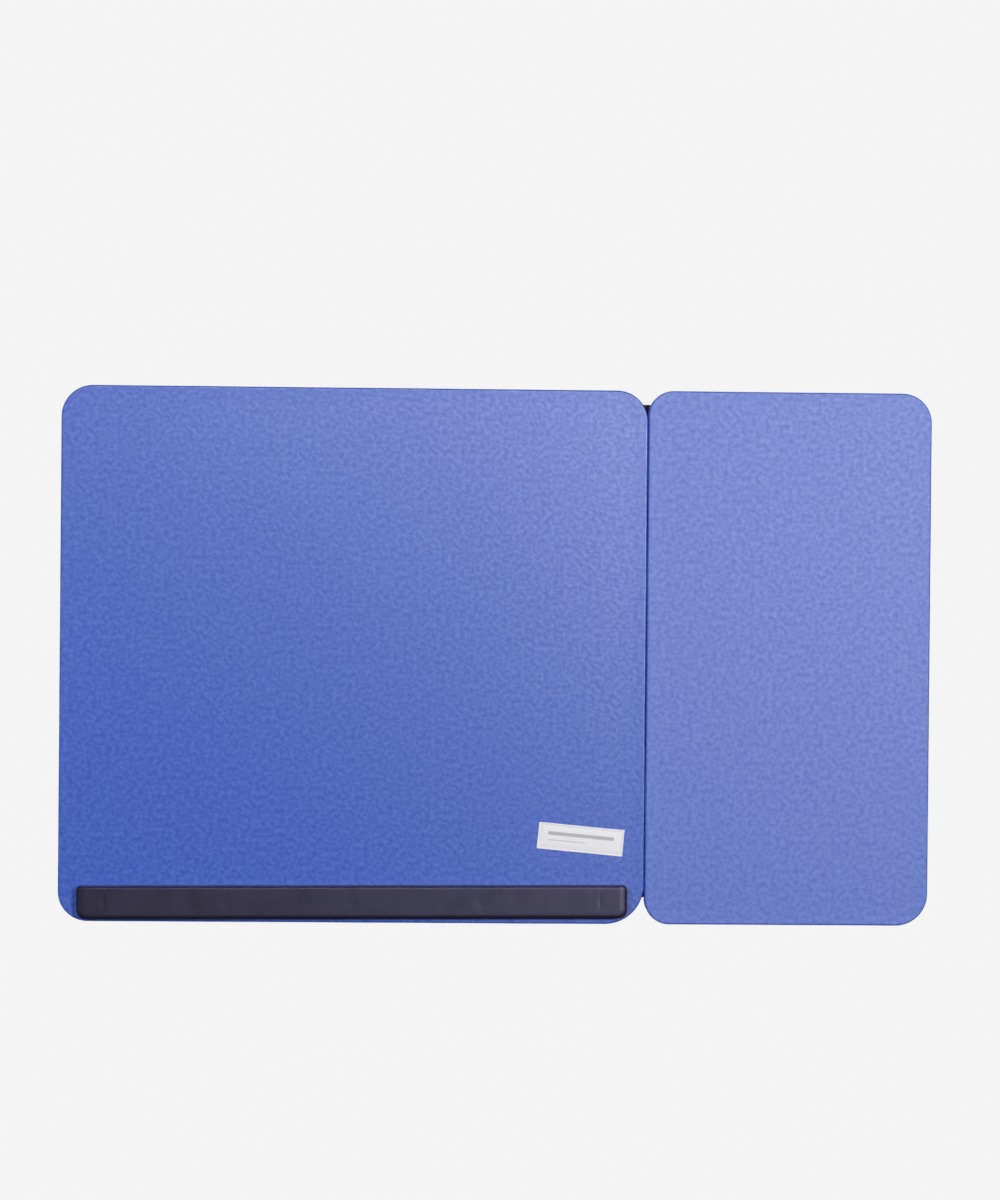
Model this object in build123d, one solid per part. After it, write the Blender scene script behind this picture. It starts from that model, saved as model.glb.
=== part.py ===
from build123d import *
import os

# A folding desk panel: two fabric-covered boards side by side, joined along their back by a textile
# hinge web, with a moulded ledge bar along the user's edge of the larger board.
#
# Millimetres. The panel lies flat, face up. X runs from the main board to the wing, Y from the user's
# edge to the far edge, and Z up, out of the face. The origin is the centre of the panel's outline, on
# the surface that it lies on.

# ---------------------------------------------------------------- driving dimensions

PANEL_DEPTH = 342.0
MAIN_WIDTH = 374.4
WING_WIDTH = 182.2
BOARD_GAP = 0.4

# Corner radii in plan: far left, far right, near right, near left.
MAIN_CORNERS = (20.0, 20.0, 25.0, 19.0)
WING_CORNERS = (16.0, 19.0, 20.5, 16.0)
SMALLEST_CORNER = 1.0

# Layers, from the back to the face.
LINING_THICKNESS = 0.7
FABRIC_THICKNESS = 0.7
CORE_THICKNESS = 5.0
FOAM_THICKNESS = 3.0

FACE_EDGE_RADIUS = 1.3
BACK_EDGE_RADIUS = 0.6
HEM_WIDTH = 20.0
LINING_INSET = 4.0
LINING_STEP_WALL = 1.0

# Hinge web: one strip, split here at the hinge line where the real one bends.
WEB_THICKNESS = 0.9
WEB_FLAP = 18.0
WEB_FAR_END = 162.5
WEB_NEAR_END = -154.6
WEB_END_CLEARANCE = 1.0
WEB_BEND_CLEARANCE = 0.15

# Flat-wire staples that hold the web's flaps.
STAPLES_PER_FLAP = 7
STAPLE_CROWN = 10.0
STAPLE_LEG = 5.0
STAPLE_WIRE_WIDTH = 1.2
STAPLE_WIRE_THICKNESS = 0.6
STAPLE_EDGE_DISTANCE = 10.0
STAPLE_END_DISTANCE = 14.0

# Ledge bar: a hollow moulding, open underneath, set slightly out of square with the board.
LEDGE_LENGTH = 351.0
LEDGE_WIDTH = 21.0
LEDGE_HEIGHT = 9.0
LEDGE_CENTRE = (-90.4, -157.3)
LEDGE_SKEW = 0.4
LEDGE_FAR_CORNER = 3.2
LEDGE_NEAR_CORNER = 6.0
LEDGE_TOP_RADIUS = 3.0
LEDGE_WALL = 2.2
LEDGE_INNER_RADIUS = 0.8
BOSS_RADIUS = 3.6
RIB_THICKNESS = 1.5

# Countersunk self-tapping screws, driven from the back.
SCREW_COUNT = 5
SCREW_END_DISTANCE = 13.0
SCREW_LENGTH = 16.0
SCREW_RADIUS = 1.45
SCREW_HEAD_RADIUS = 2.75
SCREW_TIP = 2.0
SCREW_TIP_RADIUS = 0.2
CORE_HOLE_RADIUS = 1.6
PILOT_RADIUS = 1.2
PILOT_EXTRA_DEPTH = 0.5
RECESS_LENGTH = 3.0
RECESS_WIDTH = 0.7
RECESS_DEPTH = 1.6

# Sewn label.
LABEL_LENGTH = 55.0
LABEL_WIDTH = 17.0
LABEL_THICKNESS = 0.4
LABEL_CENTRE = (55.0, -116.6)
LABEL_TILT = -5.3
STITCH_INSET = 1.4
STITCH_PITCH = 2.7
STITCH_LENGTH = 2.0
STITCH_WIDTH = 0.4
STITCH_HEIGHT = 0.2

# ---------------------------------------------------------------- derived places

TOTAL_WIDTH = MAIN_WIDTH + BOARD_GAP + WING_WIDTH
MAIN_LEFT = -TOTAL_WIDTH / 2
MAIN_RIGHT = MAIN_LEFT + MAIN_WIDTH
WING_LEFT = MAIN_RIGHT + BOARD_GAP
WING_RIGHT = TOTAL_WIDTH / 2
HINGE_X = (MAIN_RIGHT + WING_LEFT) / 2

HEM_Z = LINING_THICKNESS
CORE_Z = HEM_Z + FABRIC_THICKNESS
FOAM_Z = CORE_Z + CORE_THICKNESS
FACE_CLOTH_Z = FOAM_Z + FOAM_THICKNESS
FACE_Z = FACE_CLOTH_Z + FABRIC_THICKNESS
WEB_TOP_Z = HEM_Z + WEB_THICKNESS


def block(low, high):
    """A box between two opposite corners."""
    size = [b - a for a, b in zip(low, high)]
    return Pos(*low) * Box(*size, align=(Align.MIN, Align.MIN, Align.MIN))


def rounded_plate(low, high, radii):
    """A plate between two opposite corners, with its own plan radius at each corner."""
    (x0, y0, z0), (x1, y1, z1) = low, high
    face = Pos((x0 + x1) / 2, (y0 + y1) / 2) * Rectangle(x1 - x0, y1 - y0)
    corners = ((x0, y1), (x1, y1), (x1, y0), (x0, y0))
    for corner, radius in zip(corners, radii):
        vertex = face.vertices().sort_by_distance((*corner, 0))[0]
        face = fillet(vertex, radius)
    return Pos(0, 0, z0) * extrude(face, z1 - z0)


def round_rim(solid, radius, top=True):
    """Round the rim of a plate's top or bottom face."""
    face = solid.faces().sort_by(Axis.Z)[-1 if top else 0]
    return fillet(face.edges(), radius)


# ---------------------------------------------------------------- one covered board


class Board:
    """A covered board. inward is -1 where the hinge is on its right edge, and 1 on its left."""

    def __init__(self, left, right, corners, inward):
        self.left = left
        self.right = right
        self.corners = corners
        self.inward = inward
        self.hinge_edge = right if inward < 0 else left

    def plate(self, inset, bottom, top):
        """A plate of the board's outline, drawn in by inset, between two heights."""
        radii = [max(radius - inset, SMALLEST_CORNER) for radius in self.corners]
        low = (self.left + inset, -PANEL_DEPTH / 2 + inset, bottom)
        high = (self.right - inset, PANEL_DEPTH / 2 - inset, top)
        return rounded_plate(low, high, radii)

    def hinge_band(self, start, width, end_margin, bottom, top):
        """A box along the hinge edge as long as the web, from start past the edge to width inside."""
        x_values = sorted((self.hinge_edge - self.inward * start, self.hinge_edge + self.inward * width))
        low = (x_values[0], WEB_NEAR_END - end_margin, bottom)
        high = (x_values[1], WEB_FAR_END + end_margin, top)
        return block(low, high)

    def filling(self):
        """Core and foam together, the shape that the cover is stretched over."""
        body = self.plate(FABRIC_THICKNESS, CORE_Z, FACE_CLOTH_Z)
        body = round_rim(body, FACE_EDGE_RADIUS - FABRIC_THICKNESS)
        margin = WEB_END_CLEARANCE + FABRIC_THICKNESS
        rebate = self.hinge_band(BOARD_GAP, HEM_WIDTH, margin, CORE_Z, CORE_Z + WEB_THICKNESS)
        return body - rebate

    def core(self):
        """Stiff board, with a shallow rebate at the back for the web and the staples."""
        return self.filling() & self.plate(0, CORE_Z, FOAM_Z)

    def foam(self):
        """Thin pad over the core; its rim is rounded by the stretched cover."""
        return self.filling() & self.plate(0, FOAM_Z, FACE_CLOTH_Z)

    def cover(self):
        """Fabric over the face and the edges, turned under the core as a hem."""
        cloth = self.plate(0, HEM_Z, FACE_Z)
        cloth = round_rim(cloth, FACE_EDGE_RADIUS)
        cloth = round_rim(cloth, BACK_EDGE_RADIUS, top=False)
        cloth -= self.hinge_band(BOARD_GAP, HEM_WIDTH, WEB_END_CLEARANCE, HEM_Z, WEB_TOP_Z)
        cloth -= self.plate(HEM_WIDTH, HEM_Z, CORE_Z)
        return cloth - self.filling()

    def lining(self):
        """Back cloth: over the hem at its rim, and stepped up against the core inside it."""
        rim = self.plate(LINING_INSET, 0, LINING_THICKNESS)
        middle = self.plate(HEM_WIDTH, 0, CORE_Z)
        hollow = self.plate(HEM_WIDTH + LINING_STEP_WALL, 0, LINING_THICKNESS)
        return rim + middle - hollow

    def web_flap(self):
        """This board's half of the hinge web, up to the hinge line."""
        reach = BOARD_GAP / 2 - WEB_BEND_CLEARANCE
        return self.hinge_band(reach, WEB_FLAP, 0, HEM_Z, WEB_TOP_Z)

    def staples(self):
        """A row of staples through the flap and the hem into the core."""
        x = self.hinge_edge + self.inward * STAPLE_EDGE_DISTANCE
        first = WEB_NEAR_END + STAPLE_END_DISTANCE
        pitch = (WEB_FAR_END - STAPLE_END_DISTANCE - first) / (STAPLES_PER_FLAP - 1)
        return [Pos(x, first + index * pitch, HEM_Z) * staple() for index in range(STAPLES_PER_FLAP)]


def staple():
    """One driven staple, crown along Y on the XY plane, legs up."""
    half_width = STAPLE_WIRE_WIDTH / 2
    half_crown = STAPLE_CROWN / 2
    outer = block((-half_width, -half_crown, 0), (half_width, half_crown, STAPLE_LEG))
    inside = half_crown - STAPLE_WIRE_THICKNESS
    gap = block((-half_width, -inside, STAPLE_WIRE_THICKNESS), (half_width, inside, STAPLE_LEG))
    return outer - gap


# ---------------------------------------------------------------- ledge bar and its screws


def ledge_place(x=0.0, z=0.0):
    """The ledge bar's own frame, moved along the bar by x and up by z."""
    return Pos(*LEDGE_CENTRE, 0) * Rot(0, 0, LEDGE_SKEW) * Pos(x, 0, z)


def screw_stations():
    """Distances of the screws from the middle of the bar."""
    span = LEDGE_LENGTH - 2 * SCREW_END_DISTANCE
    return [-span / 2 + index * span / (SCREW_COUNT - 1) for index in range(SCREW_COUNT)]


def ledge_shell():
    """The bar's outer skin, rounded on top and open underneath."""
    half_length, half_width = LEDGE_LENGTH / 2, LEDGE_WIDTH / 2
    radii = (LEDGE_FAR_CORNER, LEDGE_FAR_CORNER, LEDGE_NEAR_CORNER, LEDGE_NEAR_CORNER)
    outer = rounded_plate((-half_length, -half_width, 0), (half_length, half_width, LEDGE_HEIGHT), radii)
    outer = round_rim(outer, LEDGE_TOP_RADIUS)
    inner_radii = [radius - LEDGE_WALL for radius in radii]
    low = (LEDGE_WALL - half_length, LEDGE_WALL - half_width, 0)
    high = (half_length - LEDGE_WALL, half_width - LEDGE_WALL, LEDGE_HEIGHT - LEDGE_WALL)
    inner = round_rim(rounded_plate(low, high, inner_radii), LEDGE_INNER_RADIUS)
    return outer - inner


def ledge_bar():
    """Shell with a boss and a rib at each screw, a rib midway between screws, and pilot holes."""
    stations = screw_stations()
    pitch = stations[1] - stations[0]
    roof = LEDGE_HEIGHT - LEDGE_WALL / 2
    wall_middle = (LEDGE_WIDTH - LEDGE_WALL) / 2
    bar = ledge_shell()
    for x in stations:
        bar += Pos(x, 0, roof / 2) * Cylinder(BOSS_RADIUS, roof)
    for x in stations + [station + pitch / 2 for station in stations[:-1]]:
        half = RIB_THICKNESS / 2
        bar += block((x - half, -wall_middle, 0), (x + half, wall_middle, roof))
    pilot_depth = HEM_Z + SCREW_LENGTH + PILOT_EXTRA_DEPTH - FACE_Z
    for x in stations:
        bar -= Pos(x, 0, pilot_depth / 2) * Cylinder(PILOT_RADIUS, pilot_depth)
    return ledge_place(z=FACE_Z) * bar


def screw():
    """One countersunk screw standing on its head, the head's face on the XY plane."""
    head_height = SCREW_HEAD_RADIUS - SCREW_RADIUS
    profile = Polyline(
        (0, 0),
        (SCREW_HEAD_RADIUS, 0),
        (SCREW_RADIUS, head_height),
        (SCREW_RADIUS, SCREW_LENGTH - SCREW_TIP),
        (SCREW_TIP_RADIUS, SCREW_LENGTH),
        (0, SCREW_LENGTH),
        close=True,
    )
    solid = revolve(Plane.XZ * make_face(profile), Axis.Z)
    for angle in (0, 90):
        solid -= Rot(0, 0, angle) * Pos(0, 0, RECESS_DEPTH / 2) * Box(RECESS_LENGTH, RECESS_WIDTH, RECESS_DEPTH)
    return solid


def ledge_screws():
    return [ledge_place(x, HEM_Z) * screw() for x in screw_stations()]


def screw_clearances():
    """Countersunk clearance holes, for the layers that the screws pass through."""
    head_height = SCREW_HEAD_RADIUS - CORE_HOLE_RADIUS
    depth = FACE_Z - HEM_Z
    sink = Pos(0, 0, head_height / 2) * Cone(SCREW_HEAD_RADIUS, CORE_HOLE_RADIUS, head_height)
    hole = sink + Pos(0, 0, depth / 2) * Cylinder(CORE_HOLE_RADIUS, depth)
    return [ledge_place(x, HEM_Z) * hole for x in screw_stations()]


# ---------------------------------------------------------------- label


def label_place(x=0.0, y=0.0, z=0.0):
    """The label's own frame, moved along it by x, across it by y and up by z."""
    return Pos(*LABEL_CENTRE, 0) * Rot(0, 0, LABEL_TILT) * Pos(x, y, z)


def label():
    """The blank label, laid flat on the fabric face."""
    cloth = Box(LABEL_LENGTH, LABEL_WIDTH, LABEL_THICKNESS)
    return label_place(z=FACE_Z + LABEL_THICKNESS / 2) * cloth


def label_stitches():
    """Straight stitches round the label, just inside its edge."""
    stitches = []
    z = FACE_Z + LABEL_THICKNESS + STITCH_HEIGHT / 2
    half_length = LABEL_LENGTH / 2 - STITCH_INSET
    half_width = LABEL_WIDTH / 2 - STITCH_INSET
    for half_run, offset, turn in ((half_length, half_width, 0), (half_width, half_length, 90)):
        count = int(2 * half_run / STITCH_PITCH)
        for side in (-1, 1):
            for index in range(count):
                along = (index - (count - 1) / 2) * 2 * half_run / count
                place = Rot(0, 0, turn) * Pos(along, side * offset, 0)
                stitch = Box(STITCH_LENGTH, STITCH_WIDTH, STITCH_HEIGHT)
                stitches.append(label_place(z=z) * place * stitch)
    return stitches


# ---------------------------------------------------------------- assembly


def cut(solid, tools):
    """Take each tool out of a solid."""
    for tool in tools:
        solid -= tool
    return solid


def board_nodes(prefix, board, extra_cuts):
    """Every layer of one board, with the staples' places and any further holes cut in them."""
    staples = board.staples()
    return {
        prefix + "_core_board": cut(board.core(), staples + extra_cuts),
        prefix + "_foam_pad": cut(board.foam(), extra_cuts),
        prefix + "_fabric_cover": cut(board.cover(), staples + extra_cuts),
        prefix + "_back_lining": board.lining(),
        "hinge_web_" + prefix + "_flap": cut(board.web_flap(), staples),
        "hinge_staples_" + prefix: Compound(staples),
    }


MAIN = Board(MAIN_LEFT, MAIN_RIGHT, MAIN_CORNERS, -1)
WING = Board(WING_LEFT, WING_RIGHT, WING_CORNERS, 1)

nodes = board_nodes("main", MAIN, screw_clearances())
nodes.update(board_nodes("wing", WING, []))
nodes["ledge_bar"] = ledge_bar()
nodes["ledge_screws"] = Compound(ledge_screws())
nodes["blank_label"] = label()
nodes["label_stitches"] = Compound(label_stitches())

os.makedirs("parts", exist_ok=True)
for name, shape in nodes.items():
    export_step(shape, f"parts/{name}.step")
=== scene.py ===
import math
import random

import bmesh
import bpy
import numpy as np
from mathutils import Euler, Matrix, Vector, noise


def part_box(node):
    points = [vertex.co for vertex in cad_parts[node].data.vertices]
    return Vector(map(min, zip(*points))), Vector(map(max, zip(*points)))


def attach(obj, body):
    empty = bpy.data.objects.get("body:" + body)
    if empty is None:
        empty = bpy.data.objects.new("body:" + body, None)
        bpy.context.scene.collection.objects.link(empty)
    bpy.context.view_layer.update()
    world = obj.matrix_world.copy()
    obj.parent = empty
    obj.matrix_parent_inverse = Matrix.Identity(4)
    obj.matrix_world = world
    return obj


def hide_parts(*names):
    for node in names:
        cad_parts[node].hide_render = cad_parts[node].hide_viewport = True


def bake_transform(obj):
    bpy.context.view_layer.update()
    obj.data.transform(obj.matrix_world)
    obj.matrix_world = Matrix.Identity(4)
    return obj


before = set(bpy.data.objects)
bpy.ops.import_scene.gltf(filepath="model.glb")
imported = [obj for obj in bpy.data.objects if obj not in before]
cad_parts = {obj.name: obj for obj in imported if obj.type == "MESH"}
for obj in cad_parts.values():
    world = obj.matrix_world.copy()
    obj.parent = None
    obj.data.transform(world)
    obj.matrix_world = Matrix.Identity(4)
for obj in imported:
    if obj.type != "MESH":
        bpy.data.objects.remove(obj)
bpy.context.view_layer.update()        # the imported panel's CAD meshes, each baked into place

# The looks of a folding desk panel: two boards wrapped in melange fabric, joined at the back by a
# woven tape, with a moulded ledge bar and a sewn label. Metres, in the imported model's own frame.

random.seed(7)

MM = 0.001

# ---------------------------------------------------------------- sizes taken from the frame

MAIN_LOW, MAIN_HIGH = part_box("main_fabric_cover")
WING_LOW, WING_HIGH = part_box("wing_fabric_cover")
WEB_LOW, WEB_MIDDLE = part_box("hinge_web_main_flap")
WEB_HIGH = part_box("hinge_web_wing_flap")[1]
FOAM_LOW, FOAM_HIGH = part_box("main_foam_pad")
LINING_LOW, LINING_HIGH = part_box("main_back_lining")
LABEL_LOW, LABEL_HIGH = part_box("blank_label")
LEDGE_LOW, LEDGE_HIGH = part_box("ledge_bar")
SCREW_LOW, SCREW_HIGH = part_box("ledge_screws")

FACE_Z = MAIN_HIGH.z
HEM_Z = MAIN_LOW.z
WEB_TOP_Z = WEB_MIDDLE.z
CLOTH = FACE_Z - FOAM_HIGH.z

# ---------------------------------------------------------------- sizes shared with the CAD design

# Plan radii of the boards' corners: near left, near right, far right, far left.
MAIN_RADII = (19.0 * MM, 25.0 * MM, 20.0 * MM, 20.0 * MM)
WING_RADII = (16.0 * MM, 20.5 * MM, 19.0 * MM, 16.0 * MM)
HEM_WIDTH = 20 * MM
LEDGE_SIZE = (351 * MM, 21 * MM)
LEDGE_SKEW = math.radians(0.4)
LEDGE_RADII = (6.0 * MM, 6.0 * MM, 2.6 * MM, 2.6 * MM)
LEDGE_WALL = 2.2 * MM
LABEL_SIZE = (55 * MM, 17 * MM)
LABEL_TILT = math.radians(-5.3)
STITCH_INSET = 1.4 * MM
STITCH_PITCH = 2.7 * MM

# ---------------------------------------------------------------- small helpers


def smooth(value, low, high):
    """0 below low and 1 above high, eased between them."""
    t = min(1.0, max(0.0, (value - low) / (high - low)))
    return t * t * (3 - 2 * t)


def wander(x, y, size, seed=0.0):
    """Smooth noise from -1 to 1 whose lumps are about size across."""
    return noise.noise(Vector((x / size, y / size, seed)))


def new_object(name, mesh, material, body=None):
    """A shown object for a mesh, with its material, riding on a body."""
    thing = bpy.data.objects.new(name, mesh)
    bpy.context.scene.collection.objects.link(thing)
    mesh.materials.clear()
    mesh.materials.append(material)
    if body:
        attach(thing, body)
    return thing


def build_mesh(name, points, faces, cloth=None):
    """A smooth-shaded mesh, with its flat cloth coordinates as an attribute if it has them."""
    mesh = bpy.data.meshes.new(name)
    mesh.from_pydata(points, [], faces)
    if cloth is not None:
        layer = mesh.attributes.new("cloth", "FLOAT_VECTOR", "POINT")
        layer.data.foreach_set("vector", np.array(cloth, np.float32).ravel())
    mesh.polygons.foreach_set("use_smooth", [True] * len(mesh.polygons))
    mesh.update()
    return mesh


def baked(mesh, name, modifiers):
    """The mesh with modifiers applied; each is (type, {setting: value})."""
    thing = bpy.data.objects.new("work", mesh)
    bpy.context.scene.collection.objects.link(thing)
    for kind, settings in modifiers:
        modifier = thing.modifiers.new(kind.lower(), kind)
        for key, value in settings.items():
            setattr(modifier, key, value)
    graph = bpy.context.evaluated_depsgraph_get()
    result = bpy.data.meshes.new_from_object(thing.evaluated_get(graph))
    result.name = name
    bpy.data.objects.remove(thing)
    return result


def thicken(mesh, name, thickness, offset=-1.0):
    """A sheet of that thickness, closed round its rim."""
    settings = {"thickness": thickness, "offset": offset, "use_even_offset": True}
    return baked(mesh, name, [("SOLIDIFY", settings)])


# ---------------------------------------------------------------- rounded plan outlines


class Plan:
    """A rectangle with its own radius at each corner, as rings of matching points.

    Every ring has the same number of points in the same order, starting half way round the near left
    corner and going anticlockwise, so rings at different insets join up as quads, and the innermost
    one is a plain rectangle that a grid fills.
    """

    def __init__(self, low, high, radii, spacing, corner_steps):
        self.low, self.high, self.radii = low, high, radii
        self.half = corner_steps
        self.along_x = max(2, round((high[0] - low[0]) / spacing))
        self.along_y = max(2, round((high[1] - low[1]) / spacing))
        self.columns = self.along_x + 2 * self.half
        self.rows = self.along_y + 2 * self.half
        self.count = 2 * (self.columns + self.rows)

    def side_steps(self, side):
        return self.along_x if side % 2 == 0 else self.along_y

    def corners(self, inset):
        """Each corner's arc centre and radius, on the outline drawn in by inset."""
        (x0, y0), (x1, y1) = self.low[:2], self.high[:2]
        found = []
        for radius, sx, sy in zip(self.radii, (1, -1, -1, 1), (1, 1, -1, -1)):
            r = max(radius - inset, 0.4 * MM)
            x = (x0 if sx > 0 else x1) + sx * (inset + r)
            y = (y0 if sy > 0 else y1) + sy * (inset + r)
            found.append((x, y, r))
        return found

    def ring(self, inset):
        """Points of the outline drawn in by inset. A negative inset is further out."""
        points = []
        corners = self.corners(inset)
        for side in range(4):
            outward = math.radians(270 + 90 * side)
            (ax, ay, ar), (bx, by, br) = corners[side], corners[(side + 1) % 4]
            for step in range(self.half):
                angle = outward - math.pi / 4 * (1 - step / self.half)
                points.append((ax + ar * math.cos(angle), ay + ar * math.sin(angle)))
            nx, ny = math.cos(outward), math.sin(outward)
            steps = self.side_steps(side)
            for step in range(steps):
                t = step / steps
                x = (ax + ar * nx) * (1 - t) + (bx + br * nx) * t
                y = (ay + ar * ny) * (1 - t) + (by + br * ny) * t
                points.append((x, y))
            for step in range(self.half):
                angle = outward + math.pi / 4 * step / self.half
                points.append((bx + br * math.cos(angle), by + br * math.sin(angle)))
        return points

    def stations(self, low, high, steps):
        """Where the inner grid's lines cross one side: closer together near its two ends."""
        length = high - low
        ends = min(0.2 * length, 1.2 * MM * self.half)
        first = [low + ends * step / self.half for step in range(self.half)]
        middle = [low + ends + (length - 2 * ends) * step / steps for step in range(steps)]
        last = [high - ends + ends * step / self.half for step in range(self.half + 1)]
        return first + middle + last

    def grid(self, inset):
        """Columns and rows of the inner rectangle, drawn in by inset."""
        xs = self.stations(self.low[0] + inset, self.high[0] - inset, self.along_x)
        ys = self.stations(self.low[1] + inset, self.high[1] - inset, self.along_y)
        return xs, ys

    def grid_rim(self, xs, ys):
        """The inner grid's border as (column, row), in the order of a ring."""
        last_column, last_row = len(xs) - 1, len(ys) - 1
        near = [(i, 0) for i in range(last_column)]
        right = [(last_column, j) for j in range(last_row)]
        far = [(i, last_row) for i in range(last_column, 0, -1)]
        left = [(0, j) for j in range(last_row, 0, -1)]
        return near + right + far + left


def ring_surface(plan, profile, grid_inset, blend_rings, place):
    """Points, faces and cloth coordinates of a surface made of rings round a gridded middle.

    profile is a list of (inset, flat inset, height) from the rim towards the middle. The flat inset is
    where that ring lies when the sheet is flat. place(x, y, height, inset, index) gives the point.
    """
    points, faces, cloth = [], [], []
    for inset, flat, height in profile:
        ring, flat_ring = plan.ring(inset), plan.ring(flat)
        for index, (x, y) in enumerate(ring):
            points.append(place(x, y, height, inset, index))
            cloth.append((*flat_ring[index], 0.0))
    xs, ys = plan.grid(grid_inset)
    rim = plan.grid_rim(xs, ys)
    inset, flat, height = profile[-1]
    outer = plan.ring(inset)
    for ring in range(1, blend_rings + 1):
        share = ring / (blend_rings + 1)
        for index, (i, j) in enumerate(rim):
            x = outer[index][0] * (1 - share) + xs[i] * share
            y = outer[index][1] * (1 - share) + ys[j] * share
            points.append(place(x, y, height, inset + share * (grid_inset - inset), index))
            cloth.append((x, y, 0.0))
    rings = len(profile) + blend_rings
    first_grid = len(points)
    for j, y in enumerate(ys):
        for i, x in enumerate(xs):
            points.append(place(x, y, height, grid_inset, 0))
            cloth.append((x, y, 0.0))
    for ring in range(rings):
        start = ring * plan.count
        for index in range(plan.count):
            after = (index + 1) % plan.count
            a, b = start + index, start + after
            if ring < rings - 1:
                c, d = b + plan.count, a + plan.count
            else:
                (ci, cj), (di, dj) = rim[after], rim[index]
                c = first_grid + cj * len(xs) + ci
                d = first_grid + dj * len(xs) + di
            faces.append((a, b, c, d))
    for j in range(len(ys) - 1):
        for i in range(len(xs) - 1):
            a = first_grid + j * len(xs) + i
            faces.append((a, a + 1, a + 1 + len(xs), a + len(xs)))
    return points, faces, cloth


def rounded_shoulder(depth, drop, power, steps):
    """(inset, fall) pairs over a rounded edge, from the flat top out to the upright side."""
    pairs = []
    for step in range(steps + 1):
        angle = math.pi / 2 * step / steps
        inset = depth * (1 - math.sin(angle) ** (2 / power))
        fall = drop * (1 - math.cos(angle) ** (2 / power))
        pairs.append((inset, fall))
    return pairs


def unrolled(pairs):
    """(inset, height) pairs from the middle out, each given the inset that it has when laid flat."""
    flat = pairs[0][0]
    found = [(pairs[0][0], flat, pairs[0][1])]
    for (inset0, height0), (inset1, height1) in zip(pairs, pairs[1:]):
        flat -= math.hypot(inset1 - inset0, height1 - height0)
        found.append((inset1, flat, height1))
    return found


# ---------------------------------------------------------------- material helper


class Finish:
    """A node material on one Principled shader, with short calls for the nodes used here."""

    def __init__(self, name, **settings):
        self.material = bpy.data.materials.new(name)
        self.material.use_nodes = True
        self.tree = self.material.node_tree
        self.shader = self.tree.nodes["Principled BSDF"]
        for key, value in settings.items():
            self.shader.inputs[key.replace("_", " ")].default_value = value

    def add(self, kind, inputs=(), **settings):
        """A node with its settings, and its inputs set or linked by name or number."""
        node = self.tree.nodes.new(kind)
        for key, value in settings.items():
            setattr(node, key, value)
        for key, value in dict(inputs).items():
            if isinstance(value, bpy.types.NodeSocket):
                self.tree.links.new(value, node.inputs[key])
            else:
                node.inputs[key].default_value = value
        return node

    def link(self, socket, name):
        self.tree.links.new(socket, self.shader.inputs[name])

    def math(self, operation, *values):
        node = self.add("ShaderNodeMath", dict(enumerate(values)), operation=operation)
        return node.outputs[0]

    def vector(self, operation, a, b):
        node = self.add("ShaderNodeVectorMath", {0: a, 1: b}, operation=operation)
        return node.outputs[0]

    def cloth(self):
        """The flat cloth coordinates of the piece, in metres."""
        node = self.add("ShaderNodeAttribute", attribute_name="cloth")
        return node.outputs["Vector"]

    def place(self):
        """The point's place in the piece's own frame, in metres."""
        return self.add("ShaderNodeTexCoord").outputs["Object"]

    def split(self, vector):
        return self.add("ShaderNodeSeparateXYZ", {0: vector}).outputs

    def noise(self, vector, size, detail=2.0, roughness=0.5, distortion=0.0):
        """Noise from 0 to 1 whose lumps are about size metres across."""
        inputs = {"Vector": vector, "Scale": 1 / size, "Detail": detail}
        inputs.update({"Roughness": roughness, "Distortion": distortion})
        return self.add("ShaderNodeTexNoise", inputs).outputs["Fac"]

    def random(self, vector):
        """A different random number for each whole-number cell."""
        whole = self.add("ShaderNodeVectorMath", {0: vector}, operation="FLOOR").outputs[0]
        return self.add("ShaderNodeTexWhiteNoise", {"Vector": whole}).outputs["Value"]

    def span(self, value, low, high, to_low=0.0, to_high=1.0):
        """value taken from one range to another, and held at its ends."""
        inputs = {0: value, 1: low, 2: high, 3: to_low, 4: to_high}
        return self.add("ShaderNodeMapRange", inputs).outputs[0]

    def mix(self, share, a, b):
        """Colour a at share 0 and colour b at share 1."""
        node = self.add("ShaderNodeMix", data_type="RGBA")
        for key, value in (("Factor_Float", share), ("A_Color", a), ("B_Color", b)):
            socket = next(s for s in node.inputs if s.identifier == key)
            if isinstance(value, bpy.types.NodeSocket):
                self.tree.links.new(value, socket)
            else:
                socket.default_value = value if key == "Factor_Float" else (*value, 1.0)
        return next(s for s in node.outputs if s.identifier == "Result_Color")

    def bump(self, height, depth, strength=1.0, below=None):
        """A normal for a height from 0 to 1 that stands for depth metres."""
        inputs = {"Height": height, "Distance": depth, "Strength": strength}
        if below is not None:
            inputs["Normal"] = below
        return self.add("ShaderNodeBump", inputs).outputs[0]


def plain_weave(finish, cloth, pitch):
    """(height, cell coordinates) of a plain weave, its threads' crowns at 1 and its gaps at 0."""
    cells = finish.vector("MULTIPLY", cloth, (1 / pitch, 1 / pitch, 0.0))
    u, v = finish.split(cells)[0], finish.split(cells)[1]
    crown_u = finish.math("ABSOLUTE", finish.math("SINE", finish.math("MULTIPLY", u, math.pi)))
    crown_v = finish.math("ABSOLUTE", finish.math("SINE", finish.math("MULTIPLY", v, math.pi)))
    total = finish.math("ADD", finish.math("FLOOR", u), finish.math("FLOOR", v))
    odd = finish.math("FLOORED_MODULO", total, 2.0)
    warp = finish.math("MULTIPLY", crown_u, finish.math("MULTIPLY_ADD", crown_v, 0.5, 0.5))
    weft = finish.math("MULTIPLY", crown_v, finish.math("MULTIPLY_ADD", crown_u, 0.5, 0.5))
    height = finish.math("ADD", finish.math("MULTIPLY", warp, odd),
                         finish.math("MULTIPLY", weft, finish.math("SUBTRACT", 1.0, odd)))
    return height, cells


# ---------------------------------------------------------------- materials

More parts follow.
